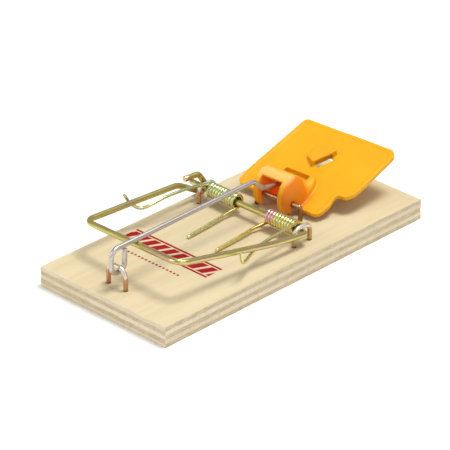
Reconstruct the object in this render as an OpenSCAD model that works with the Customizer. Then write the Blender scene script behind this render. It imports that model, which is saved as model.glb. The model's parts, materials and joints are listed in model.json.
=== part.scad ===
// Snap mouse trap, set: a wire hammer and two torsion springs on a plywood board,
// with a hold bar that runs from its staple to a moulded plastic trigger.
// Origin: centre of the board's underside. +X runs along the board to the trigger end.

/* [Board] */
// Length of the board
board_l = 98; // [96:1:110]
// Width of the board
board_w = 46; // [46:1:56]
// Thickness of one ply
ply_t = 1.2; // [1:0.05:1.4]

/* [Hammer] */
// Diameter of the hammer wire
hammer_d = 1.7; // [1.4:0.05:1.8]
// Distance of the axle from the middle of the board
axle_x = 8; // [7:0.5:9]
// Height of the axle above the board
axle_lift = 3.45; // [3.45:0.05:3.6]
// Distance from the axle to the striker, measured flat
striker_reach = 44; // [42:0.5:46]
// Radius of the striker's corners
striker_bend = 3; // [2:0.25:4]

/* [Springs] */
// Diameter of the spring wire
spring_d = 0.95; // [0.8:0.05:0.95]
// Mean radius of the coils
coil_r = 1.7; // [1.65:0.05:1.9]
// Full turns in one coil
coil_turns = 10; // [8:1:10]

/* [Staples] */
// Diameter of the staple wire
staple_d = 1.25; // [1:0.05:1.3]
// Distance between the two legs of a staple
staple_span = 6; // [5.6:0.1:6.4]

/* [Hold bar] */
// Diameter of the hold bar wire
hold_d = 1.35; // [1.1:0.05:1.4]
// Distance of the hold bar's staple from the middle of the board
hold_x = -42.6; // [-43:0.1:-42]

/* [Trigger] */
// Tilt of the set trigger above level
tilt = 19.8; // [18:0.1:20]
// Turn of the trigger and its staple about the vertical
trigger_turn = 3.75; // [3:0.25:4.5]
// Thickness of the trigger plate
plate_t = 1.2; // [1:0.1:1.2]
// Length of the trigger plate from its pivot
plate_l = 30.7; // [29:0.1:31]

/* [Hidden] */
$fn = 32;

// Heights of the board's top face and of the axle
board_t = 5 * ply_t;
axle_z = board_t + axle_lift;

// The hammer: the near arm, the striker and the far arm, which ends in an eye
near_arm_y = -18.6;
far_arm_y = 19.75;
axle_tip_y = 24;
striker_near = [axle_x - striker_reach - 0.7, -15.8, axle_z + 7.5];
striker_far = [axle_x - striker_reach + 0.5, 20, axle_z + 5.9];
eye_gap = 0.1;
eye_r = hammer_d + eye_gap;

// Places of the staples, the hold bar and the trigger's pivot; its staple's legs stand
// unequally far out along the pivot
near_staple_y = -16.95;
far_staple_y = 18.1;
axle_crown_z = axle_z + hammer_d / 2 + staple_d / 2 + 0.06;
hold_y = 0.85;
hold_span = staple_span + 0.3;
bar_y = 0.3;
hold_crown_z = board_t + 6;
pivot = [16.4, 1.5, board_t + 4.1];
near_leg_y = -9.55;
far_leg_y = 5.5;

// The trigger's plate, hood, pocket and bait scoop, measured level from the pivot
plate_top = -2.35;
hood_near = -5.1;
hood_far = 4.6;
hood_wall = 1.4;
pocket_front = 7.6;
pocket_back = 11.6;
rim_w = -0.4;
rim_wall = 0.8;
scoop_at = [16, -1.1];
scoop_turn = -29;
scoop_l = 7.2;
scoop_w = 7;
scoop_h = 1.9;
slot_w = 2.2;

// How deep the staple legs are driven into the board
leg_depth = board_t - 0.6;

// The springs: their coils sit a little high on the axle, their turns all but touch, and
// each turn is a ring of straight steps
coil_lift = 0.3;
pitch = spring_d + 0.03;
steps_per_turn = 14;

// How much fatter a wire's bends are than its runs
seam = 0.01;

function unit(v) = v / norm(v);
function turn_angle(a, b) = acos(max(-1, min(1, a * b)));

// A round rod from one point to another
module rod(from, to, d) {
    run = to - from;
    translate(from)
        rotate([0, acos(run.z / norm(run)), atan2(run.y, run.x)])
            cylinder(d = d, h = norm(run));
}

// A round bend at a corner, between the directions a and b
module elbow(corner, a, b, bend, d) {
    angle = turn_angle(a, b);
    inward = unit(b - (a * b) * a);
    centre = corner - a * bend * tan(angle / 2) + inward * bend;
    out = cross(-inward, a);
    multmatrix([[-inward.x, a.x, out.x, centre.x],
                [-inward.y, a.y, out.y, centre.y],
                [-inward.z, a.z, out.z, centre.z]])
        rotate_extrude(angle = angle)
            translate([bend, 0])
                circle(d = d + seam);
}

// A wire along straight runs, with a round bend of its own radius at each inner point.
// Each run ends a little way inside a bend that is a hair fatter, so that they join.
module wire(points, bends, d) {
    last = len(points) - 1;
    dirs = [for (i = [0:last - 1]) unit(points[i + 1] - points[i])];
    cuts = [for (i = [0:last])
        i == 0 || i == last ? 0
            : bends[i - 1] * tan(turn_angle(dirs[i - 1], dirs[i]) / 2) - 4 * seam];
    for (i = [0:last - 1])
        rod(points[i] + dirs[i] * cuts[i], points[i + 1] - dirs[i] * cuts[i + 1], d);
    for (i = [1:last - 1])
        elbow(points[i], dirs[i - 1], dirs[i], bends[i - 1], d);
}

// A staple along X: two legs driven into the board and a crown with rounded corners
module staple(crown_z, from, to, bend) {
    wire([[from, 0, board_t - leg_depth], [from, 0, crown_z],
          [to, 0, crown_z], [to, 0, board_t - leg_depth]],
         [bend, bend], staple_d);
}

module axle_staple(y) {
    color("peru")
        translate([axle_x, y, 0])
            staple(axle_crown_z, -staple_span / 2, staple_span / 2, 2);
}

module near_axle_staple() axle_staple(near_staple_y);

module far_axle_staple() axle_staple(far_staple_y);

module hold_bar_staple() {
    color("peru")
        translate([hold_x, hold_y, 0])
            rotate([0, 0, 90])
                staple(hold_crown_z, -hold_span / 2, hold_span / 2, 2.6);
}

module trigger_staple() {
    color("sienna")
        translate([pivot.x, pivot.y, 0])
            rotate([0, 0, 90 + trigger_turn])
                staple(pivot.z, near_leg_y, far_leg_y, 0.8);
}

// Holes in one ply for every staple leg
module leg_holes() {
    feet = [for (y = [near_staple_y, far_staple_y], side = [-1, 1])
                [axle_x + side * staple_span / 2, y],
            for (side = [-1, 1]) [hold_x, hold_y + side * hold_span / 2],
            for (y = [near_leg_y, far_leg_y])
                [pivot.x - y * sin(trigger_turn), pivot.y + y * cos(trigger_turn)]];
    for (foot = feet)
        translate([foot.x, foot.y, board_t - leg_depth])
            cylinder(d = staple_d, h = board_t);
}

module ply(level, tint) {
    color(tint)
        difference() {
            translate([-board_l / 2, -board_w / 2, level * ply_t])
                cube([board_l, board_w, ply_t]);
            leg_holes();
        }
}

module bottom_face_ply() ply(0, "burlywood");

module lower_cross_ply() ply(1, "tan");

module core_ply() ply(2, "wheat");

module upper_cross_ply() ply(3, "tan");

module top_face_ply() ply(4, "blanchedalmond");

// One wire: the axle, the near arm, the striker, and the far arm ending in an eye
module hammer() {
    kink = [axle_x - 9.5, far_arm_y, axle_z + 3.9];
    color("darkkhaki")
        wire([[axle_x, axle_tip_y, axle_z],
              [axle_x, near_arm_y, axle_z],
              [axle_x - 12, near_arm_y + 0.5, axle_z + 1.4],
              striker_near,
              striker_far,
              kink,
              [axle_x + 0.3, 20, axle_z - eye_r - 0.1],
              [axle_x + 2.3, 21, axle_z - 0.2],
              [axle_x + 1, 22.2, axle_z + 2.5],
              [axle_x - 4.2, 22.5, axle_z + 2.7]],
             [1.2, 20, striker_bend, striker_bend, 6, 1.4, 1.2, 1.2], hammer_d);
}

// Sweep of a round wire along a list of points, its rings kept free of twist
function ring_normals(points) =
    let (last = len(points) - 1,
         dirs = [for (i = [0:last]) unit(points[min(i + 1, last)] - points[max(i - 1, 0)])])
    [for (i = 0, n = unit(cross(dirs[0], [0.3, 1, 0.2])); i <= last;
          i = i + 1, n = i <= last ? unit(n - (n * dirs[i]) * dirs[i]) : n) [dirs[i], n]];

module sweep(points, d, sides = 7) {
    frames = ring_normals(points);
    rings = [for (i = [0:len(points) - 1], k = [0:sides - 1])
        let (angle = 360 * k / sides, across = cross(frames[i][0], frames[i][1]))
        points[i] + d / 2 * (cos(angle) * frames[i][1] + sin(angle) * across)];
    last = len(points) - 1;
    walls = [for (i = [0:last - 1], k = [0:sides - 1])
        let (a = i * sides + k, b = i * sides + (k + 1) % sides)
        each [[a, b + sides, b], [a, a + sides, b + sides]]];
    ends = [[for (k = [0:sides - 1]) k], [for (k = [sides - 1:-1:0]) last * sides + k]];
    polyhedron(points = rings, faces = concat(walls, ends));
}

// Points along a smooth curve through a short list of points
function curve_point(a, b, c, e, t) =
    0.5 * (2 * b + (c - a) * t + (2 * a - 5 * b + 4 * c - e) * t * t
           + (3 * b - a - 3 * c + e) * t * t * t);
function smooth(p, steps) =
    let (last = len(p) - 1)
    concat([for (i = [0:last - 1], s = [0:steps - 1])
        curve_point(p[max(i - 1, 0)], p[i], p[i + 1], p[min(i + 2, last)], s / steps)],
        [p[last]]);

// A torsion spring: the inner leg presses on the board, the outer leg lifts the hammer's arm
module spring(inner_y, side, inner_leg, outer_leg) {
    turns = coil_turns + 0.5;
    count = turns * steps_per_turn;
    coil = [for (i = [0:count])
        let (angle = 90 - 360 * i / steps_per_turn)
        [axle_x + coil_r * cos(angle), inner_y + side * pitch * i / steps_per_turn,
         axle_z + coil_lift - coil_r * sin(angle)]];
    sweep(concat(smooth(inner_leg, 5), coil, smooth(outer_leg, 4)), spring_d);
}

module near_spring() {
    color("yellowgreen")
        spring(-4.9, -1,
               [[-11.5, -4.4, board_t + 0.6], [-4, -4.2, board_t + 0.9],
                [3, -3.8, board_t + 1.2]],
               [[4, -15.3, axle_z + 1.9], [-8, -16.4, axle_z + 1.6],
                [-16.6, -19.4, axle_z + 1.4], [-18.6, -20.3, axle_z + 5.4]]);
}

module far_spring() {
    color("yellowgreen")
        spring(6.4, 1,
               [[-11.5, 6, board_t + 0.6], [-4, 6.4, board_t + 0.9],
                [3, 6.9, board_t + 1.2]],
               [[4, 16.8, axle_z + 2.9], [-2, 17, axle_z + 3.6], [-8.5, 17.6, axle_z + 3.6],
                [-13, 18.2, axle_z + 2.9], [-15.6, 19.6, axle_z + 2.3],
                [-17.6, 21.4, axle_z + 3.8], [-19.3, 21.9, axle_z + 6.8]]);
}

// The hold bar: an eye around the crown of its staple, a long run and a dipped tip
module hold_bar() {
    run_z = hold_crown_z + 6;
    color("silver")
        wire([[hold_x + 2.2, bar_y, hold_crown_z + 4.6],
              [hold_x + 2.2, bar_y, hold_crown_z - 1.4],
              [hold_x - 2.6, bar_y, hold_crown_z - 1.4],
              [hold_x - 2.6, bar_y, run_z - 0.3],
              [axle_x - 0.6, bar_y, run_z + 0.2],
              [axle_x + 3.4, bar_y, run_z - 3.2],
              [pivot.x + 2, bar_y, run_z - 4.4]],
             [2.2, 2.2, 2.4, 2, 1.6], hold_d);
}

// Level outline of the trigger plate, with a step on the near side
module plate_outline() {
    polygon([[1, -8.3], [0.9, -12.5], [1.7, -14], [5.3, -14.6], [8.6, -13.9], [9.8, -14.4],
             [9.8, -16.7], [11.8, -18.2], [14.7, -18.6], [plate_l - 2.4, -19.2],
             [plate_l - 0.5, -18.2], [plate_l, -16.3], [plate_l - 0.2, 11], [plate_l - 2, 12.8],
             [7.6, 15], [3.3, 14.9], [2, 13.8], [1.6, 9.2], [1.6, 4]]);
}

// Side view of the hood over the pivot and of the open box behind it
module hood_side() {
    polygon([[-2.8, 0.3], [-2.6, -1.3], [-2, -2.8], [-1.3, -3.1], [-0.6, -2.6],
             [1, plate_top - 0.4], [pocket_back, plate_top - 0.4], [pocket_back, rim_w],
             [7.3, rim_w + 0.2], [6.8, 3.4], [5.9, 4.6], [4.6, 5.6], [2.9, 6.2], [1.6, 5.9],
             [-0.1, 5.1], [-1.4, 3.9], [-2.4, 2.1]]);
}

// Side view of the room inside the hood, open to the front under its lip and to the board
module hood_room() {
    polygon([[-6, -5], [1, -5], [1, plate_top], [5.2, plate_top], [5.2, 3.2], [4.2, 4.4],
             [1.4, 5], [1.2, 8], [-6, 8]]);
}

// A bar of a side view, between two places along the pivot
module across(from, to) {
    translate([0, to, 0])
        rotate([90, 0, 0])
            linear_extrude(to - from)
                children();
}

// The bait scoop: a ramp that rises to an open mouth, with a slot through the plate
module bait_scoop() {
    translate([scoop_at.x, scoop_at.y, plate_top - 0.1])
        rotate([0, 0, scoop_turn])
            difference() {
                rotate([90, 0, 90])
                    linear_extrude(scoop_l)
                        polygon([[0, 0], [scoop_w, 0], [0, scoop_h]]);
                translate([rim_wall, -1, -1])
                    cube([scoop_l - 2 * rim_wall, 1 + scoop_w / 3, 1 + scoop_h / 2]);
            }
}

module bait_slot() {
    translate([scoop_at.x, scoop_at.y, plate_top - 2 * plate_t])
        rotate([0, 0, scoop_turn])
            translate([rim_wall, -slot_w / 2, 0])
                cube([scoop_l - 2 * rim_wall, slot_w, 3 * plate_t]);
}

// The open box behind the hood
module pocket() {
    translate([pocket_front, hood_near + rim_wall, plate_top])
        cube([pocket_back - pocket_front - rim_wall, hood_far - hood_near - 2 * rim_wall, 4]);
}

module trigger() {
    pin_d = staple_d + 0.1;
    color("orange")
        translate(pivot)
            rotate([0, -tilt, trigger_turn])
                difference() {
                    union() {
                        translate([0, 0, plate_top - plate_t])
                            linear_extrude(plate_t)
                                plate_outline();
                        across(hood_near, hood_far)
                            hood_side();
                        bait_scoop();
                    }
                    across(hood_near + hood_wall, hood_far - hood_wall)
                        hood_room();
                    pocket();
                    bait_slot();
                    across(hood_near - 1, hood_far + 1) {
                        circle(d = pin_d);
                        translate([-pin_d / 2, -5])
                            square([pin_d, 5]);
                    }
                }
}

bottom_face_ply();
lower_cross_ply();
core_ply();
upper_cross_ply();
top_face_ply();
near_axle_staple();
far_axle_staple();
hold_bar_staple();
trigger_staple();
hammer();
near_spring();
far_spring();
hold_bar();
trigger();
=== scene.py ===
import json
import math

import bmesh
import bpy
from mathutils import Matrix, Vector


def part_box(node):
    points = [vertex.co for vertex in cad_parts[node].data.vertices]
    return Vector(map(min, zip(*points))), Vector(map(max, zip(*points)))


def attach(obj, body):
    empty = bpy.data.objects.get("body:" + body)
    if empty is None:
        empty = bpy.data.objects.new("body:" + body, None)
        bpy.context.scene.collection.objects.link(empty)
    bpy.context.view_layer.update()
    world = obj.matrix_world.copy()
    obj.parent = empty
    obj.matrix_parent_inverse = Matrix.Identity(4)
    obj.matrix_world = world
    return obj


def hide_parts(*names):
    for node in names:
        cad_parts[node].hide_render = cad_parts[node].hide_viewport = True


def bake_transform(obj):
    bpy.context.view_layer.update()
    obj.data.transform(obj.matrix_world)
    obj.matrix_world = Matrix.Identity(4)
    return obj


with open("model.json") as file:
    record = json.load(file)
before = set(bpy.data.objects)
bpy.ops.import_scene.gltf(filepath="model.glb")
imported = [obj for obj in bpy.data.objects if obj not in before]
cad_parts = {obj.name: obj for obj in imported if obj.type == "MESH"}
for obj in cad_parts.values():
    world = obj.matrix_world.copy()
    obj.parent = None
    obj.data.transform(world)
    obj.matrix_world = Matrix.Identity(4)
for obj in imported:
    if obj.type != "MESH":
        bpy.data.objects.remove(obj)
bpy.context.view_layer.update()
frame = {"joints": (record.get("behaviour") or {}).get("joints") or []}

# Lengths below are in millimetres, in the frame of the CAD model, until a mesh is made.
MM = 0.001
JOINT_AT = {j["name"]: Vector(j["pos_m"]) / MM for j in frame["joints"]}
AXLE = JOINT_AT["hammer_swing"]
HOLD = JOINT_AT["hold_bar_swing"]
PIVOT = JOINT_AT["trigger_tilt"]
TILT_JOINT = next(j for j in frame["joints"] if j["name"] == "trigger_tilt")
TILT = math.radians(TILT_JOINT["range_deg"][1])
TURN = math.atan2(-TILT_JOINT["axis"][0], TILT_JOINT["axis"][1])
BOARD_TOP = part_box("top_face_ply")[1].z / MM
PLIES = ["bottom_face_ply", "lower_cross_ply", "core_ply", "upper_cross_ply", "top_face_ply"]
HAMMER_D = 1.7
HOLD_D = 1.35
STAPLE_D = 1.25
SPRING_D = 0.95


def cad_corners(node):
    """The lowest and highest corner of a CAD node, in millimetres."""
    low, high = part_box(node)
    return low / MM, high / MM


# ---------------------------------------------------------------- materials

class Shader:
    """Short calls that build one material's node tree."""

    def __init__(self, name):
        self.material = bpy.data.materials.new(name)
        self.material.use_nodes = True
        self.tree = self.material.node_tree
        self.bsdf = self.tree.nodes["Principled BSDF"]

    def node(self, kind, **settings):
        """Adds a node and sets its settings."""
        made = self.tree.nodes.new(kind)
        for key, value in settings.items():
            setattr(made, key, value)
        return made

    def plug(self, socket, value):
        """Links a socket's output, or sets a number or a colour, on an input socket."""
        if isinstance(value, bpy.types.NodeSocket):
            self.tree.links.new(value, socket)
        elif isinstance(value, tuple) and len(value) == 3 and socket.type == "RGBA":
            socket.default_value = (*value, 1)
        else:
            socket.default_value = value

    def set(self, **values):
        """Links or sets inputs of the main shader, named with underscores."""
        for key, value in values.items():
            self.plug(self.bsdf.inputs[key.replace("_", " ")], value)

    def colour_so_far(self):
        """The socket that now feeds the base colour."""
        return self.bsdf.inputs["Base Color"].links[0].from_socket

    def place(self, stretch=(1, 1, 1), shift=(0, 0, 0)):
        """Coordinates in millimetres on the piece, stretched along each axis."""
        source = self.node("ShaderNodeTexCoord").outputs["Object"]
        mapping = self.node("ShaderNodeMapping")
        self.plug(mapping.inputs["Vector"], source)
        self.plug(mapping.inputs["Scale"], tuple(s / MM for s in stretch))
        self.plug(mapping.inputs["Location"], tuple(shift))
        return mapping.outputs["Vector"]

    def trigger_place(self):
        """Coordinates in millimetres in the trigger's own level frame, from its pivot."""
        mapping = self.node("ShaderNodeMapping", vector_type="TEXTURE")
        self.plug(mapping.inputs["Vector"], self.node("ShaderNodeTexCoord").outputs["Object"])
        self.plug(mapping.inputs["Location"], tuple(PIVOT * MM))
        self.plug(mapping.inputs["Rotation"], (0, -TILT, TURN))
        self.plug(mapping.inputs["Scale"], (MM, MM, MM))
        return mapping.outputs["Vector"]

    def wire_place(self, along, around):
        """Coordinates that run along and around a wire."""
        source = self.node("ShaderNodeUVMap", uv_map="wire").outputs["UV"]
        mapping = self.node("ShaderNodeMapping")
        self.plug(mapping.inputs["Vector"], source)
        self.plug(mapping.inputs["Scale"], (along, around, 1))
        return mapping.outputs["Vector"]

    def axis(self, vector, name):
        split = self.node("ShaderNodeSeparateXYZ")
        self.plug(split.inputs[0], vector)
        return split.outputs[name]

    def noise(self, vector, scale=1.0, detail=3.0, distortion=0.0):
        made = self.node("ShaderNodeTexNoise")
        self.plug(made.inputs["Vector"], vector)
        self.plug(made.inputs["Scale"], scale)
        self.plug(made.inputs["Detail"], detail)
        self.plug(made.inputs["Distortion"], distortion)
        return made.outputs["Fac"]

    def math(self, operation, *values, clamp=False):
        made = self.node("ShaderNodeMath", operation=operation, use_clamp=clamp)
        for socket, value in zip(made.inputs, values):
            self.plug(socket, value)
        return made.outputs[0]

    def fade(self, value, start, end, low=0.0, high=1.0):
        """A value that goes smoothly from low to high as the input goes from start to end."""
        made = self.node("ShaderNodeMapRange", interpolation_type="SMOOTHSTEP")
        for socket, number in zip(made.inputs, (value, start, end, low, high)):
            self.plug(socket, number)
        return made.outputs[0]

    def mix(self, share, first, second, blend="MIX"):
        made = self.node("ShaderNodeMix", data_type="RGBA", blend_type=blend)
        self.plug(made.inputs[0], share)
        self.plug(made.inputs[6], first)
        self.plug(made.inputs[7], second)
        return made.outputs[2]

    def bump(self, height, depth):
        """A bump whose full height is depth, in millimetres."""
        made = self.node("ShaderNodeBump")
        self.plug(made.inputs["Height"], height)
        self.plug(made.inputs["Distance"], depth * MM)
        self.plug(self.bsdf.inputs["Normal"], made.outputs["Normal"])


def wire_finish(name, main, second, dark, roughness=0.3, patches=0.09, dirt=0.5):
    """Drawn and plated wire: colour patches along it, fine die lines and dull spots."""
    s = Shader(name)
    patch = s.noise(s.wire_place(patches, 1.1), 1, 3, 0.4)
    lines = s.noise(s.wire_place(0.10, 26), 1, 3)
    spots = s.noise(s.place(), 1.7, 4)
    colour = s.mix(s.fade(patch, 0.42, 0.62), main, second)
    colour = s.mix(s.fade(lines, 0.5, 0.8, 0, 0.9 * dirt), colour, dark)
    colour = s.mix(s.fade(spots, 0.56, 0.74, 0, dirt), colour, dark)
    s.set(Base_Color=colour, Metallic=1.0)
    s.set(Roughness=s.fade(s.math("ADD", lines, spots), 0.7, 1.3, roughness - 0.03, roughness + 0.07))
    s.bump(lines, 0.005)
    return s


def zinc_wire():
    """The hammer: yellow passivated zinc with pinkish brown stretches, coppery at the eye's cut end."""
    s = wire_finish("zinc_wire", (0.60, 0.53, 0.17), (0.58, 0.43, 0.24), (0.26, 0.19, 0.07), dirt=0.4)
    place = s.place()
    eye = s.math("MULTIPLY", s.fade(s.axis(place, "Y"), 21.2, 21.8), s.fade(s.axis(place, "X"), 6, 5))
    base = s.colour_so_far()
    s.set(Base_Color=s.mix(s.math("MULTIPLY", eye, 0.6), base, (0.62, 0.34, 0.22)))
    return s.material


def spring_wire(pink_from, pink_to):
    """The springs: yellow green, greener far off, with an orange reflection painted on the undersides of the
    coils, pink on top of some inner coils.
    """
    s = wire_finish("spring_wire", (0.78, 0.66, 0.20), (0.60, 0.62, 0.32), (0.38, 0.27, 0.07), 0.26, 0.05, 0.15)
    place = s.place()
    across, height = s.axis(place, "Y"), s.axis(place, "Z")
    colour = s.colour_so_far()
    colour = s.mix(s.fade(across, 2, 8, 0, 0.55), colour, (0.58, 0.68, 0.44))
    # Painted reflection: the undersides of the coils are tinted orange, most on the near spring.
    coil = s.fade(height, AXLE.z - 2.2, AXLE.z - 1.9)
    below = s.math("MULTIPLY", coil, s.fade(height, AXLE.z - 1.5, AXLE.z - 0.1, 0.8, 0))
    near = s.fade(across, 0, 2, 1, 0.3)
    colour = s.mix(s.math("MULTIPLY", below, near), colour, (0.78, 0.42, 0.12))
    rosy = s.math("MULTIPLY", s.fade(across, pink_from - 1.2, pink_from),
                  s.fade(across, pink_to, pink_to + 1.2, 1, 0))
    rosy = s.math("MULTIPLY", rosy, s.fade(height, AXLE.z - 1.0, AXLE.z + 0.2, 0, 0.8))
    s.set(Base_Color=s.mix(rosy, colour, (0.70, 0.38, 0.46)))
    return s.material


def plain_wire():
    """The hold bar: plain drawn steel, a little tarnished."""
    s = wire_finish("plain_wire", (0.58, 0.54, 0.51), (0.50, 0.46, 0.43), (0.26, 0.22, 0.20), 0.36, dirt=0.25)
    return s.material


def bronzed_wire():
    """The trigger's staple: coppered wire that has gone dark, with a painted highlight along the top of its
    shoulder.
    """
    s = wire_finish("bronzed_wire", (0.36, 0.17, 0.08), (0.22, 0.11, 0.06), (0.05, 0.025, 0.015), 0.26, 0.2)
    # Painted highlight: paler copper along the top of the crown.
    painted_top_highlight = s.fade(s.axis(s.place(), "Z"), PIVOT.z - 0.7, PIVOT.z + 0.1)
    base = s.colour_so_far()
    s.set(Base_Color=s.mix(s.math("MULTIPLY", painted_top_highlight, 0.35), base, (0.66, 0.46, 0.30)))
    return s.material


def coppered_wire(name, main, second):
    """The staples: plated wire, worn to steel where the crown was hammered, with painted shade low on the legs
    where they meet the board.
    """
    s = wire_finish(name, main, second, (0.20, 0.11, 0.06), 0.36, 0.2)
    height = s.axis(s.place(), "Z")
    blotch = s.noise(s.place(), 0.9, 4)
    worn = s.fade(s.math("ADD", height, s.math("MULTIPLY", blotch, 4.0)), BOARD_TOP + 5.4, BOARD_TOP + 6.4)
    base = s.colour_so_far()
    silvered = s.mix(worn, base, (0.74, 0.66, 0.56))
    # Painted shade: the legs darken towards the board, where they go into their holes.
    painted_contact_shade = s.fade(height, BOARD_TOP, BOARD_TOP + 0.9, 0.7, 0)
    s.set(Base_Color=s.mix(painted_contact_shade, silvered, (0.10, 0.06, 0.04)))
    return s.material


def grain(s, fibre, cross, colours):
    """Wood colour from broad bands and fine fibres that run along one axis."""
    bands = s.noise(s.place(tuple(0.016 if a == fibre else 0.28 for a in "XYZ")), 1, 2, 0.6)
    fibres = s.noise(s.place(tuple(0.10 if a == fibre else 3.6 for a in "XYZ")), 1, 5)
    flecks = s.noise(s.place(tuple(0.45 if a == fibre else 5.0 for a in "XYZ"), (9, 4, 2)), 1, 2)
    light, mid, dark = colours
    colour = s.mix(s.fade(bands, 0.35, 0.65), light, mid)
    colour = s.mix(s.fade(fibres, 0.45, 0.75, 0, 0.5), colour, mid)
    colour = s.mix(s.fade(flecks, 0.66, 0.78, 0, 0.5 * cross), colour, dark)
    return colour, fibres, flecks


def wood_face(name, colours):
    """The flat face of a veneer, with its fibres along the board."""
    s = Shader(name)
    colour, fibres, flecks = grain(s, "X", 1, colours)
    s.set(Base_Color=colour, Roughness=s.fade(fibres, 0.3, 0.7, 0.5, 0.68), Specular_IOR_Level=0.3)
    s.bump(s.math("SUBTRACT", fibres, s.math("MULTIPLY", flecks, 0.6)), 0.05)
    return s


def wood_edge(name, fibre, colours):
    """A sawn edge where the fibres run along one axis."""
    s = Shader(name)
    colour, fibres, _ = grain(s, fibre, 1.4, colours)
    saw = s.noise(s.place((1.6, 1.6, 0.3)), 1, 4)
    colour = s.mix(s.fade(saw, 0.5, 0.72, 0, 0.35), colour, colours[2])
    s.set(Base_Color=colour, Roughness=s.fade(saw, 0.3, 0.7, 0.65, 0.85), Specular_IOR_Level=0.2)
    s.bump(s.math("ADD", fibres, saw), 0.10)
    return s.material


def wood_end(name, colours):
    """A sawn edge across the fibres: open pores and crushed fibre ends."""
    s = Shader(name)
    pores = s.node("ShaderNodeTexVoronoi", feature="F1")
    s.plug(pores.inputs["Vector"], s.place((1, 1, 1.3)))
    s.plug(pores.inputs["Scale"], 3.4)
    hole = s.fade(pores.outputs["Distance"], 0.10, 0.34, 1, 0)
    blotch = s.noise(s.place((0.5, 0.5, 1.2)), 1, 4)
    torn = s.noise(s.place((4, 4, 0.9)), 1, 4)
    light, mid, dark = colours
    colour = s.mix(s.fade(blotch, 0.38, 0.62), light, mid)
    colour = s.mix(s.math("MULTIPLY", hole, s.fade(torn, 0.4, 0.6)), colour, dark)
    s.set(Base_Color=colour, Roughness=s.fade(torn, 0.3, 0.7, 0.7, 0.9), Specular_IOR_Level=0.15)
    s.bump(s.math("SUBTRACT", torn, hole), 0.12)
    return s.material


def printed_face(name, colours):
    """The top face, with a generic band of hazard stripes and a dotted line in red ink."""
    s = wood_face(name, colours)
    base = s.colour_so_far()
    wander = s.math("MULTIPLY", s.math("SUBTRACT", s.noise(s.place((0.5, 3, 1)), 1, 3), 0.5), 0.22)
    place = s.place()
    x = s.math("ADD", s.axis(place, "X"), wander)
    y = s.math("ADD", s.axis(place, "Y"), wander)

    def band(value, low, high):
        """1 between low and high, with edges that are as soft as ink on wood."""
        soft = 0.07
        return s.math("MULTIPLY", s.fade(value, low - soft, low + soft),
                      s.fade(value, high - soft, high + soft, 1, 0))

    far_end, near_end = 19.5, -12
    low_x, high_x, rule = -23.2, -16.8, 0.75
    across = band(y, near_end, far_end)
    slanted = s.math("FRACT", s.math("DIVIDE", s.math("ADD", y, s.math("MULTIPLY", x, 0.5)), 3.5))
    stripes = s.math("MULTIPLY", band(slanted, 0.08, 0.80), band(x, low_x + 1.1, high_x - 1.1))
    rules = s.math("ADD", band(x, low_x, low_x + rule), band(x, high_x - rule, high_x))
    dots = s.math("MULTIPLY", band(s.math("FRACT", s.math("DIVIDE", y, 1.3)), 0.2, 0.75),
                  s.math("MULTIPLY", band(x, -27.6, -26.9), band(y, -6.6, 13.2)))
    ink = s.math("ADD", s.math("MULTIPLY", across, s.math("ADD", stripes, rules)), dots, clamp=True)
    worn = s.fade(s.noise(s.place((0.4, 4, 1)), 1, 4), 0.35, 0.6, 0.97, 1)
    s.set(Base_Color=s.mix(s.math("MULTIPLY", ink, worn), base, (0.30, 0.002, 0.008)),
          Specular_IOR_Level=s.fade(ink, 0, 1, 0.3, 0.08))
    return s.material


def trigger_plastic():
    """Satin yellow orange moulded plastic, paler on the crest as a painted highlight, with painted shade on the
    near cheek and a painted red glow inside the thin hood.
    """
    s = Shader("trigger_plastic")
    cloud = s.noise(s.place((0.12, 0.12, 0.2)), 1, 2)
    fine = s.noise(s.place(), 5.0, 3)
    colour = s.mix(s.fade(cloud, 0.35, 0.65), (0.74, 0.355, 0.005), (0.72, 0.335, 0.004))
    local = s.trigger_place()
    run, side, lift = (s.axis(local, name) for name in "XYZ")
    # Mask for the inside of the hood, where a red glow is painted in as a deeper red colour and a weak
    # emission.
    depth = s.math("MULTIPLY", s.fade(side, -3.9, -3.5), s.fade(side, 3.0, 3.4, 1, 0))
    depth = s.math("MULTIPLY", depth, s.fade(run, 5.1, 5.6, 1, 0))
    under_roof = s.math("ADD", lift, s.math("MULTIPLY", run, 0.25))
    depth = s.math("MULTIPLY", depth, s.fade(under_roof, 4.9, 5.6, 1, 0))
    # Painted shade: the near cheek's outer face is coloured a deeper orange red.
    painted_cheek_shade = s.math("MULTIPLY", s.fade(side, -5.6, -4.8, 1, 0), s.fade(run, 5, 9, 1, 0))
    colour = s.mix(s.math("MULTIPLY", painted_cheek_shade, s.fade(side, -9, -7.4)), colour, (0.70, 0.20, 0.006))
    # Painted highlight: the crest of the hood is paler.
    colour = s.mix(s.fade(lift, 5.0, 6.0, 0, 0.45), colour, (0.98, 0.58, 0.24))
    # Painted glow: the inside of the hood is coloured deep red.
    colour = s.mix(s.math("MULTIPLY", depth, 0.9), colour, (0.95, 0.22, 0.045))
    # The emission here paints a faint red glow inside the hood; no lamp is there.
    s.set(Base_Color=colour, Roughness=s.fade(fine, 0.3, 0.7, 0.36, 0.48), Specular_IOR_Level=0.25,
          Subsurface_Weight=s.fade(run, 5.5, 8, 0.45, 0.06), Subsurface_Radius=(1.0, 0.35, 0.06),
          Subsurface_Scale=1.2 * MM, Emission_Color=(1.0, 0.13, 0.015),
          Emission_Strength=s.math("MULTIPLY", depth, 0.16))
    s.bump(s.math("ADD", s.math("MULTIPLY", cloud, 2.0), fine), 0.012)
    return s.material


# ---------------------------------------------------------------- meshes

def new_object(name, mesh, *materials):
    for material in materials:
        mesh.materials.append(material)
    made = bpy.data.objects.new(name, mesh)
    bpy.context.scene.collection.objects.link(made)
    return made


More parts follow.
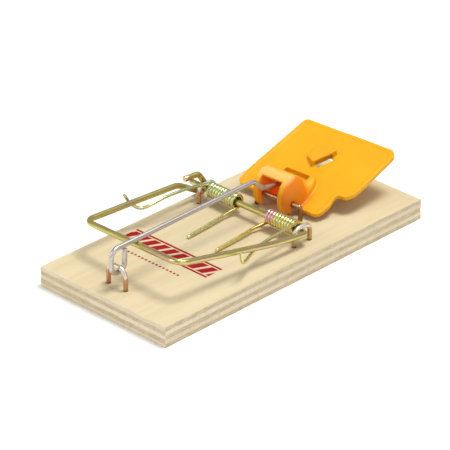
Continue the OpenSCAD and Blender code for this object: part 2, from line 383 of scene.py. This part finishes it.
def object_from(mesh, name, *materials):
    """Turns a bmesh into an object with its faces pointing outwards."""
    bmesh.ops.recalc_face_normals(mesh, faces=mesh.faces)
    made = bpy.data.meshes.new(name)
    mesh.to_mesh(made)
    mesh.free()
    return new_object(name, made, *materials)


def rounded(points, bends, step=math.radians(8)):
    """The points of a wire's centreline, with an arc of its own radius at each inner corner."""
    path = [points[0]]
    for before, corner, after, bend in zip(points, points[1:], points[2:], bends):
        a = (corner - before).normalized()
        b = (after - corner).normalized()
        turn = a.angle(b)
        inward = (b - a.dot(b) * a).normalized()
        centre = corner - a * bend * math.tan(turn / 2) + inward * bend
        count = max(2, round(turn / step))
        for i in range(count + 1):
            angle = turn * i / count
            path.append(centre - inward * bend * math.cos(angle) + a * bend * math.sin(angle))
    return path + [points[-1]]


def spaced(path, gap):
    """The same path with extra points, so that none is further apart than gap."""
    out = [path[0]]
    for a, b in zip(path, path[1:]):
        count = max(1, math.ceil((b - a).length / gap))
        out += [a.lerp(b, i / count) for i in range(1, count + 1)]
    return out


def curve_point(a, b, c, e, t):
    """A point between b and c on the smooth curve through all four."""
    return 0.5 * (2 * b + (c - a) * t + (2 * a - 5 * b + 4 * c - e) * t ** 2
                  + (3 * b - a - 3 * c + e) * t ** 3)


def smooth(points, steps):
    last = len(points) - 1
    out = [curve_point(points[max(i - 1, 0)], points[i], points[i + 1], points[min(i + 2, last)], s / steps)
           for i in range(last) for s in range(steps)]
    return out + [points[-1]]


def tube(name, path, d, material, sides=20, chamfer=0.12):
    """A round wire along a path: its rings are kept free of twist and its cut ends are chamfered."""
    radius = d / 2
    last = len(path) - 1
    dirs = [(path[min(i + 1, last)] - path[max(i - 1, 0)]).normalized() for i in range(last + 1)]
    rings = [(path[0], dirs[0], radius - chamfer)]
    rings += [(p if 0 < i < last else p + n * chamfer * (1 if i == 0 else -1), n, radius)
              for i, (p, n) in enumerate(zip(path, dirs))]
    rings.append((path[-1], dirs[-1], radius - chamfer))
    mesh = bmesh.new()
    uv = mesh.loops.layers.uv.new("wire")
    normal = dirs[0].orthogonal().normalized()
    loops, along, travelled = [], [], 0.0
    for k, (centre, direction, r) in enumerate(rings):
        normal = (normal - normal.dot(direction) * direction).normalized()
        other = direction.cross(normal)
        travelled += (centre - rings[max(k - 1, 0)][0]).length
        along.append(travelled)
        loops.append([mesh.verts.new((centre + r * (math.cos(a) * normal + math.sin(a) * other)) * MM)
                      for a in (math.tau * j / sides for j in range(sides))])
    for k in range(len(loops) - 1):
        for j in range(sides):
            face = mesh.faces.new((loops[k][j], loops[k][(j + 1) % sides],
                                   loops[k + 1][(j + 1) % sides], loops[k + 1][j]))
            corners = ((k, j), (k, j + 1), (k + 1, j + 1), (k + 1, j))
            for loop, (ring, turn) in zip(face.loops, corners):
                loop[uv].uv = (along[ring], turn / sides)
            face.smooth = True
    mesh.faces.new(list(reversed(loops[0])))
    mesh.faces.new(loops[-1])
    return object_from(mesh, name, material)


def bake_modifiers(piece):
    """Applies a piece's modifiers to its mesh."""
    graph = bpy.context.evaluated_depsgraph_get()
    mesh = bpy.data.meshes.new_from_object(piece.evaluated_get(graph))
    piece.modifiers.clear()
    piece.data = mesh


def combine(target, tool, operation):
    """Joins a tool to a piece or cuts it away, and removes the tool."""
    modifier = target.modifiers.new(operation.lower(), "BOOLEAN")
    modifier.operation, modifier.solver, modifier.object = operation, "EXACT", tool
    bake_modifiers(target)
    bpy.data.objects.remove(tool)


def finish_piece(piece, node, body):
    """Puts a piece on its body, in the place of its CAD node."""
    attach(piece, body)
    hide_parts(node)
    return piece


# ---------------------------------------------------------------- board

def hash_noise(i, j, k):
    """A repeatable number from 0 to 1 for three whole numbers."""
    value = math.sin(i * 12.9898 + j * 78.233 + k * 37.719) * 43758.5453
    return value - math.floor(value)


def rough(position, level, scale):
    """Smooth noise from 0 to 1 along a line, different for each level."""
    cell = position / scale
    i, t = math.floor(cell), cell - math.floor(cell)
    t = t * t * (3 - 2 * t)
    return hash_noise(i, level, 1) * (1 - t) + hash_noise(i + 1, level, 1) * t


def rectangle_ring(half_l, half_w, gap):
    """Points round a rectangle, as (x, y, outward normal)."""
    ring = []
    nx, ny = round(2 * half_l / gap), round(2 * half_w / gap)
    ring += [(-half_l + 2 * half_l * i / nx, -half_w, (0, -1)) for i in range(nx)]
    ring += [(half_l, -half_w + 2 * half_w * i / ny, (1, 0)) for i in range(ny)]
    ring += [(half_l - 2 * half_l * i / nx, half_w, (0, 1)) for i in range(nx)]
    ring += [(-half_l, half_w - 2 * half_w * i / ny, (-1, 0)) for i in range(ny)]
    return ring


def cut_holes(piece, legs):
    """Bores the holes of the staple legs, given as (x, y, radius, bottom)."""
    drills = bmesh.new()
    for x, y, radius, bottom in legs:
        height = BOARD_TOP + 1 - bottom
        place = Matrix.Translation(Vector((x, y, bottom + height / 2)) * MM)
        bmesh.ops.create_cone(drills, cap_ends=True, segments=24, radius1=radius * MM, radius2=radius * MM,
                              depth=height * MM, matrix=place)
    combine(piece, object_from(drills, "drills"), "DIFFERENCE")


def ply(index, legs, materials):
    """One veneer, its sawn edges a little uneven, with fillets on the outer plies."""
    low, high = cad_corners(PLIES[index])
    half_l, half_w = (high.x - low.x) / 2, (high.y - low.y) / 2
    thick = high.z - low.z
    top_ply, bottom_ply = index == 4, index == 0
    heights = [0, 0.12, 0.5, 0.88, 1]
    insets = [0.16 if bottom_ply else 0, 0.03 if bottom_ply else 0, 0, 0.03 if top_ply else 0,
              0.16 if top_ply else 0]
    ring = rectangle_ring(half_l, half_w, 1.0)
    mesh = bmesh.new()
    rows = []
    for level, (share, inset) in enumerate(zip(heights, insets)):
        row = []
        for x, y, (nx, ny) in ring:
            corner = abs(abs(x) - half_l) < 0.01 and abs(abs(y) - half_w) < 0.01
            where = x * 1.37 + y * 2.11 if not corner else 0
            depth = inset + 0.10 * rough(where + 40 * nx + 90 * ny, index * 3 + level % 2, 2.3) ** 2
            depth += 0.05 * hash_noise(index, nx + 2, ny + 2)
            shrink_x = depth if nx or corner else 0
            shrink_y = depth if ny or corner else 0
            row.append(mesh.verts.new(Vector((x - math.copysign(shrink_x, x), y - math.copysign(shrink_y, y),
                                              low.z + thick * share)) * MM))
        rows.append(row)
    count = len(ring)
    for a, b in zip(rows, rows[1:]):
        for j in range(count):
            face = mesh.faces.new((a[j], a[(j + 1) % count], b[(j + 1) % count], b[j]))
            face.material_index = 1 if ring[j][2][0] else 2
    mesh.faces.new(rows[-1])
    mesh.faces.new(list(reversed(rows[0])))
    piece = object_from(mesh, "veneer_" + PLIES[index], *materials)
    cut_holes(piece, legs)
    return finish_piece(piece, PLIES[index], "base")


def board(staples):
    """Five veneers with their grain crossed, and the staples' holes in them."""
    pale = ((0.63, 0.53, 0.34), (0.59, 0.485, 0.295), (0.44, 0.33, 0.18))
    side_pale = ((0.72, 0.63, 0.46), (0.66, 0.56, 0.39), (0.50, 0.38, 0.22))
    side_dark = ((0.59, 0.49, 0.33), (0.53, 0.43, 0.27), (0.38, 0.28, 0.16))
    face = wood_face("veneer_face", pale).material
    top = printed_face("veneer_top", pale)
    long_x = wood_edge("veneer_edge_x", "X", side_pale)
    long_y = wood_edge("veneer_edge_y", "Y", side_pale)
    end = wood_end("veneer_end", side_dark)
    legs = [(x, y, radius, low) for x, y, radius, low in staples]
    for index in range(5):
        along_y = index % 2 == 0
        ends, sides = (long_y, end) if along_y else (end, long_x)
        ply(index, legs, (top if index == 4 else face, ends, sides))


# ---------------------------------------------------------------- wires

def staple(name, bend, axis, material):
    """A staple over its CAD box: two legs and a rounded crown along one axis. Gives its holes."""
    low, high = cad_corners(name)
    d = (high - low)["xy".index("y" if axis == "x" else "x")]
    middle = (low + high) / 2
    half = ((high - low)["xy".index(axis)] - d) / 2
    along = Vector((1, 0, 0)) if axis == "x" else Vector((0, 1, 0))
    crown = high.z - d / 2
    ends = [Vector((middle.x, middle.y, low.z)) + along * s * half for s in (-1, 1)]
    tops = [Vector((p.x, p.y, crown)) for p in ends]
    path = spaced(rounded([ends[0], tops[0], tops[1], ends[1]], [bend, bend]), 1.0)
    finish_piece(tube("wire_" + name, path, d, material), name, "base")
    return [(p.x, p.y, d / 2, low.z) for p in ends]


def turned_staple(name, bend, material):
    """The trigger's staple, its crown along the pivot's turned line. Gives its holes."""
    low, high = cad_corners(name)
    radius = STAPLE_D / 2
    line = Vector((-math.sin(TURN), math.cos(TURN), 0))
    tops = [PIVOT + line * (y - PIVOT.y) / line.y for y in (low.y + radius, high.y - radius)]
    ends = [Vector((p.x, p.y, low.z)) for p in tops]
    path = spaced(rounded([ends[0], *tops, ends[1]], [bend, bend]), 1.0)
    finish_piece(tube("wire_" + name, path, STAPLE_D, material), name, "base")
    return [(p.x, p.y, radius, low.z) for p in ends]


def hammer(material):
    """One bent wire: axle, near arm, striker and far arm, which ends in an eye round the axle."""
    low, high = cad_corners("hammer")
    eye_r = HAMMER_D + 0.1
    far_y, near_y = 19.75, low.y + HAMMER_D / 2
    striker_x = AXLE.x - 44
    points = [AXLE + Vector((0, high.y - AXLE.y, 0)),
              AXLE + Vector((0, near_y, 0)),
              AXLE + Vector((-12, near_y + 0.5, 1.4)),
              Vector((striker_x - 0.7, -15.8, AXLE.z + 7.5)),
              Vector((striker_x + 0.5, 20, AXLE.z + 5.9)),
              AXLE + Vector((-9.5, far_y, 3.9)),
              AXLE + Vector((0.3, 20, -eye_r - 0.1)),
              AXLE + Vector((2.3, 21, -0.2)),
              AXLE + Vector((1, 22.2, 2.5)),
              AXLE + Vector((-4.2, 22.5, 2.7))]
    path = spaced(rounded(points, [1.2, 20, 3, 3, 6, 1.4, 1.2, 1.2]), 1.5)
    finish_piece(tube("wire_hammer", path, HAMMER_D, material, 28), "hammer", "hammer")


def hold_bar(material):
    """The hold bar: its eye hangs on the staple's crown and its dipped tip reaches the trigger."""
    y = HOLD.y
    run_z = HOLD.z + 6
    points = [Vector((HOLD.x + 2.2, y, HOLD.z + 4.6)),
              Vector((HOLD.x + 2.2, y, HOLD.z - 1.4)),
              Vector((HOLD.x - 2.6, y, HOLD.z - 1.4)),
              Vector((HOLD.x - 2.6, y, run_z - 0.3)),
              Vector((AXLE.x - 0.6, y, run_z + 0.2)),
              Vector((AXLE.x + 3.4, y, run_z - 3.2)),
              Vector((PIVOT.x + 2, y, run_z - 4.4))]
    path = spaced(rounded(points, [2.2, 2.2, 2.4, 2, 1.6]), 1.5)
    finish_piece(tube("wire_hold_bar", path, HOLD_D, material, 24), "hold_bar", "hold_bar")


def spring(node, inner_y, side, inner_leg, outer_leg, material):
    """A torsion spring: the inner leg rests on the board and the outer leg lifts the hammer's arm."""
    radius, turns, lift, steps = 1.7, 10.5, 0.3, 36
    pitch = SPRING_D + 0.03
    coil = []
    for i in range(round(turns * steps) + 1):
        angle = math.radians(90 - 360 * i / steps)
        coil.append(Vector((AXLE.x + radius * math.cos(angle), inner_y + side * pitch * i / steps,
                            AXLE.z + lift - radius * math.sin(angle))))
    path = smooth(inner_leg, 8) + coil + smooth(outer_leg, 8)
    piece = tube("wire_" + node, path, SPRING_D, material, 14, 0.08)
    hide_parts(node)
    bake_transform(piece)


def springs():
    near = [Vector((4, -15.3, AXLE.z + 1.9)), Vector((-8, -16.4, AXLE.z + 1.6)),
            Vector((-16.6, -19.4, AXLE.z + 1.4)), Vector((-18.6, -20.3, AXLE.z + 5.4))]
    far = [Vector((4, 16.8, AXLE.z + 2.9)), Vector((-2, 17, AXLE.z + 3.6)),
           Vector((-8.5, 17.6, AXLE.z + 3.6)), Vector((-13, 18.2, AXLE.z + 2.9)),
           Vector((-15.6, 19.6, AXLE.z + 2.3)), Vector((-17.6, 21.4, AXLE.z + 3.8)),
           Vector((-19.3, 21.9, AXLE.z + 6.8))]
    near_inner = [Vector((-11.5, -4.4, BOARD_TOP + 0.6)), Vector((-4, -4.2, BOARD_TOP + 0.9)),
                  Vector((3, -3.8, BOARD_TOP + 1.2))]
    far_inner = [Vector((-11.5, 6, BOARD_TOP + 0.6)), Vector((-4, 6.4, BOARD_TOP + 0.9)),
                 Vector((3, 6.9, BOARD_TOP + 1.2))]
    finish = spring_wire(-7.4, -4.4)
    spring("near_spring", -4.9, -1, near_inner, near, finish)
    spring("far_spring", 6.4, 1, far_inner, far, finish)


# ---------------------------------------------------------------- trigger

def prism(name, outline, low, high, upright=False):
    """A solid over an outline: of (u, y) points from w low to high, or of (u, w) points along y."""
    mesh = bmesh.new()
    if upright:
        ends = [[mesh.verts.new((u, y, w)) for u, w in outline] for y in (low, high)]
    else:
        ends = [[mesh.verts.new((u, y, w)) for u, y in outline] for w in (low, high)]
    count = len(outline)
    mesh.faces.new(ends[0])
    mesh.faces.new(list(reversed(ends[1])))
    for j in range(count):
        mesh.faces.new((ends[0][j], ends[1][j], ends[1][(j + 1) % count], ends[0][(j + 1) % count]))
    return object_from(mesh, name)


def dome(name, outline, middle, base, rise):
    """A rounded cap over a (u, w) outline, standing out from y = base towards -Y."""
    rings = [(0.1, 1.0)]
    for i in range(15):
        angle = math.radians(6 * i)
        rings.append((-rise * math.sin(angle), math.cos(angle)))
    mesh = bmesh.new()
    middle_u, middle_w = middle
    loops = [[mesh.verts.new((middle_u + (u - middle_u) * share, base + y, middle_w + (w - middle_w) * share))
              for u, w in outline] for y, share in rings]
    count = len(outline)
    for a, b in zip(loops, loops[1:]):
        for j in range(count):
            mesh.faces.new((a[j], b[j], b[(j + 1) % count], a[(j + 1) % count]))
    mesh.faces.new(loops[0])
    mesh.faces.new(list(reversed(loops[-1])))
    return object_from(mesh, name)


def round_outline(points, radius, step=math.radians(15)):
    """A closed outline whose corners are arcs, as far as its sides leave room."""
    flat = [Vector((a, b, 0)) for a, b in points]
    out = []
    for i, corner in enumerate(flat):
        before, after = flat[i - 1], flat[(i + 1) % len(flat)]
        a, b = (corner - before), (after - corner)
        turn = a.angle(b)
        reach = min(radius * math.tan(turn / 2), 0.45 * a.length, 0.45 * b.length)
        bend = reach / math.tan(turn / 2) if turn > 0.01 else 0
        if bend < 0.05:
            out.append((corner.x, corner.y))
            continue
        arc = rounded([corner - a.normalized() * reach, corner, corner + b.normalized() * reach], [bend], step)
        out += [(p.x, p.y) for p in arc[1:-1]]
    return out


def edge_bead(outline, top):
    """The low raised rim along the edge of the trigger's plate."""
    middle_u, middle_y, share = 16, -2, 0.93
    inner = [(middle_u + (u - middle_u) * share, middle_y + (y - middle_y) * share) for u, y in outline]
    rim = prism("rim", outline, top - 0.3, top + 0.16)
    combine(rim, prism("inner", inner, top - 1, top + 1), "DIFFERENCE")
    return rim


def bait_scoop(body, top):
    """A ramp that rises to an open mouth, over a slot through the plate."""
    place = (Matrix.Translation((16, -1.1, top - 0.1)) @ Matrix.Rotation(math.radians(-29), 4, "Z")
             @ Matrix.Rotation(math.radians(90), 4, "Z"))
    ramp = prism("ramp", [(0, 0), (7.2, 0), (7.2, 0.15), (0, 2.0)], -7.3, 0, True)
    plan = prism("plan", [(-0.1, 0.1), (-0.1, -7.4), (2.4, -7.4), (7.2, -5), (6.4, -3), (4.2, 0.1)], -1, 4)
    mouth = prism("mouth", [(-1, -1), (3, -1), (3, 0.5), (1.5, 1.0), (-1, 1.1)], -5.9, -0.7, True)
    slot = prism("slot", [(-1.1, -3), (1.1, -3), (1.1, 0.6), (-1.1, 0.6)], -5.6, -0.7, True)
    combine(ramp, plan, "INTERSECT")
    combine(ramp, mouth, "DIFFERENCE")
    for tool, operation in ((ramp, "UNION"), (slot, "DIFFERENCE")):
        tool.data.transform(place)
        combine(body, tool, operation)


def trigger(material):
    """The moulded trigger, built level about its pivot, rounded off, tilted and turned into place."""
    top, thick, end = -2.35, 1.2, 30.7
    outline = [(1.0, -8.3), (0.9, -12.5), (1.7, -14), (5.3, -14.6), (8.6, -13.9), (9.8, -14.4), (9.8, -16.7),
               (11.8, -18.2), (14.7, -18.6), (end - 1.9, -19.2), (end, -17.6), (end - 0.2, 12.6), (7.6, 15),
               (2.8, 14.9), (1.6, 13), (1.6, 4)]
    body = prism("moulded_trigger", round_outline(outline, 1.6), top - thick, top)
    combine(body, edge_bead(round_outline(outline, 1.6), top), "UNION")
    near, far, wall = -5.1, 4.6, 1.4
    side = [(-2.8, 0.3), (-2.6, -1.3), (-2, -2.8), (-1.3, -3.1), (-0.6, -2.6), (1, top - 0.4),
            (11.7, top - 0.4), (11.7, -0.2), (7.3, -0.1), (6.8, 3.4), (5.9, 4.6), (4.6, 5.6), (2.9, 6.2),
            (1.6, 5.9), (-0.1, 5.1), (-1.4, 3.9), (-2.4, 2.1)]
    combine(body, prism("hood", round_outline(side, 0.9), near, far, True), "UNION")
    combine(body, dome("bulge", round_outline(side, 0.9), (3, top - 0.4), near, 2.3), "UNION")
    bait_scoop(body, top)
    room = [(-6, -5), (1, -5), (1, top), (5.2, top), (5.2, 3.2), (4.2, 4.4), (1.4, 5), (1.2, 8), (-6, 8)]
    combine(body, prism("room", room, near + wall, far - wall, True), "DIFFERENCE")
    box = [(7.4, near + 0.7), (11.0, near + 0.7), (11.0, far - 0.7), (7.4, far - 0.7)]
    combine(body, prism("pocket", box, top + 0.7, 3), "DIFFERENCE")
    pin_r = STAPLE_D / 2 + 0.05
    pin = [(pin_r * math.cos(math.tau * i / 24), pin_r * math.sin(math.tau * i / 24)) for i in range(24)]
    combine(body, prism("bore", pin, near - 3, far + 1, True), "DIFFERENCE")
    way_in = [(-pin_r, -5), (pin_r, -5), (pin_r, 0), (-pin_r, 0)]
    combine(body, prism("way_in", way_in, near - 3, far + 1, True), "DIFFERENCE")
    remesh = body.modifiers.new("moulded", "REMESH")
    remesh.mode, remesh.voxel_size = "VOXEL", 0.2
    soften = body.modifiers.new("soften", "SMOOTH")
    soften.factor, soften.iterations = 0.5, 5
    bake_modifiers(body)
    place = (Matrix.Scale(MM, 4) @ Matrix.Translation(PIVOT) @ Matrix.Rotation(TURN, 4, "Z")
             @ Matrix.Rotation(-TILT, 4, "Y"))
    body.data.transform(place)
    body.data.materials.clear()
    body.data.materials.append(material)
    for polygon in body.data.polygons:
        polygon.use_smooth = True
    finish_piece(body, "trigger", "trigger")


# ---------------------------------------------------------------- studio

def camera():
    """The view from above the board's near corner, through a long lens."""
    eye = Vector((-585.58, -559.77, 443.19))
    target = Vector((9.15, 12.26, 0))
    roll = math.radians(0.38)
    data = bpy.data.cameras.new("camera")
    data.lens = 277.5
    data.clip_start, data.clip_end = 0.05, 20
    made = bpy.data.objects.new("camera", data)
    made.location = eye * MM
    turn = (target - eye).to_track_quat("-Z", "Y").to_matrix() @ Matrix.Rotation(roll, 3, "Z")
    made.rotation_euler = turn.to_euler()
    bpy.context.scene.collection.objects.link(made)
    bpy.context.scene.camera = made


def area_light(name, place, size, power, colour=(1, 1, 1)):
    data = bpy.data.lights.new(name, "AREA")
    data.shape, data.size, data.energy, data.color = "SQUARE", size, power, colour
    made = bpy.data.objects.new(name, data)
    made.location = place
    made.rotation_euler = (-Vector(place)).to_track_quat("-Z", "Y").to_euler()
    bpy.context.scene.collection.objects.link(made)


def studio():
    area_light("key", (0.16, -0.12, 0.80), 0.30, 6.0)
    area_light("window", (-0.75, 0.30, 0.45), 0.5, 2.4)
    area_light("fill", (-0.3, -0.9, 0.5), 0.8, 1.8)
    world = bpy.data.worlds.new("studio")
    world.use_nodes = True
    world.node_tree.nodes["Background"].inputs["Color"].default_value = (1, 1, 1, 1)
    world.node_tree.nodes["Background"].inputs["Strength"].default_value = 0.45
    bpy.context.scene.world = world
    bpy.context.scene.view_settings.view_transform = "Standard"


def floor():
    half = 4.0
    mesh = bpy.data.meshes.new("floor")
    corners = [(-half, -half, 0), (half, -half, 0), (half, half, 0), (-half, half, 0)]
    mesh.from_pydata(corners, [], [(0, 1, 2, 3)])
    s = Shader("floor")
    s.set(Base_Color=(0.95, 0.95, 0.95), Roughness=0.9, Specular_IOR_Level=0.1)
    new_object("floor", mesh, s.material)


camera()
studio()
floor()

copper = coppered_wire("coppered_wire", (0.62, 0.34, 0.20), (0.50, 0.27, 0.15))
brassy = coppered_wire("brassy_wire", (0.58, 0.42, 0.18), (0.50, 0.33, 0.15))
staple_legs = (staple("near_axle_staple", 2, "x", brassy) + staple("far_axle_staple", 2, "x", copper)
               + staple("hold_bar_staple", 2.6, "y", copper)
               + turned_staple("trigger_staple", 0.8, bronzed_wire()))
board(staple_legs)
hammer(zinc_wire())
hold_bar(plain_wire())
springs()
trigger(trigger_plastic())
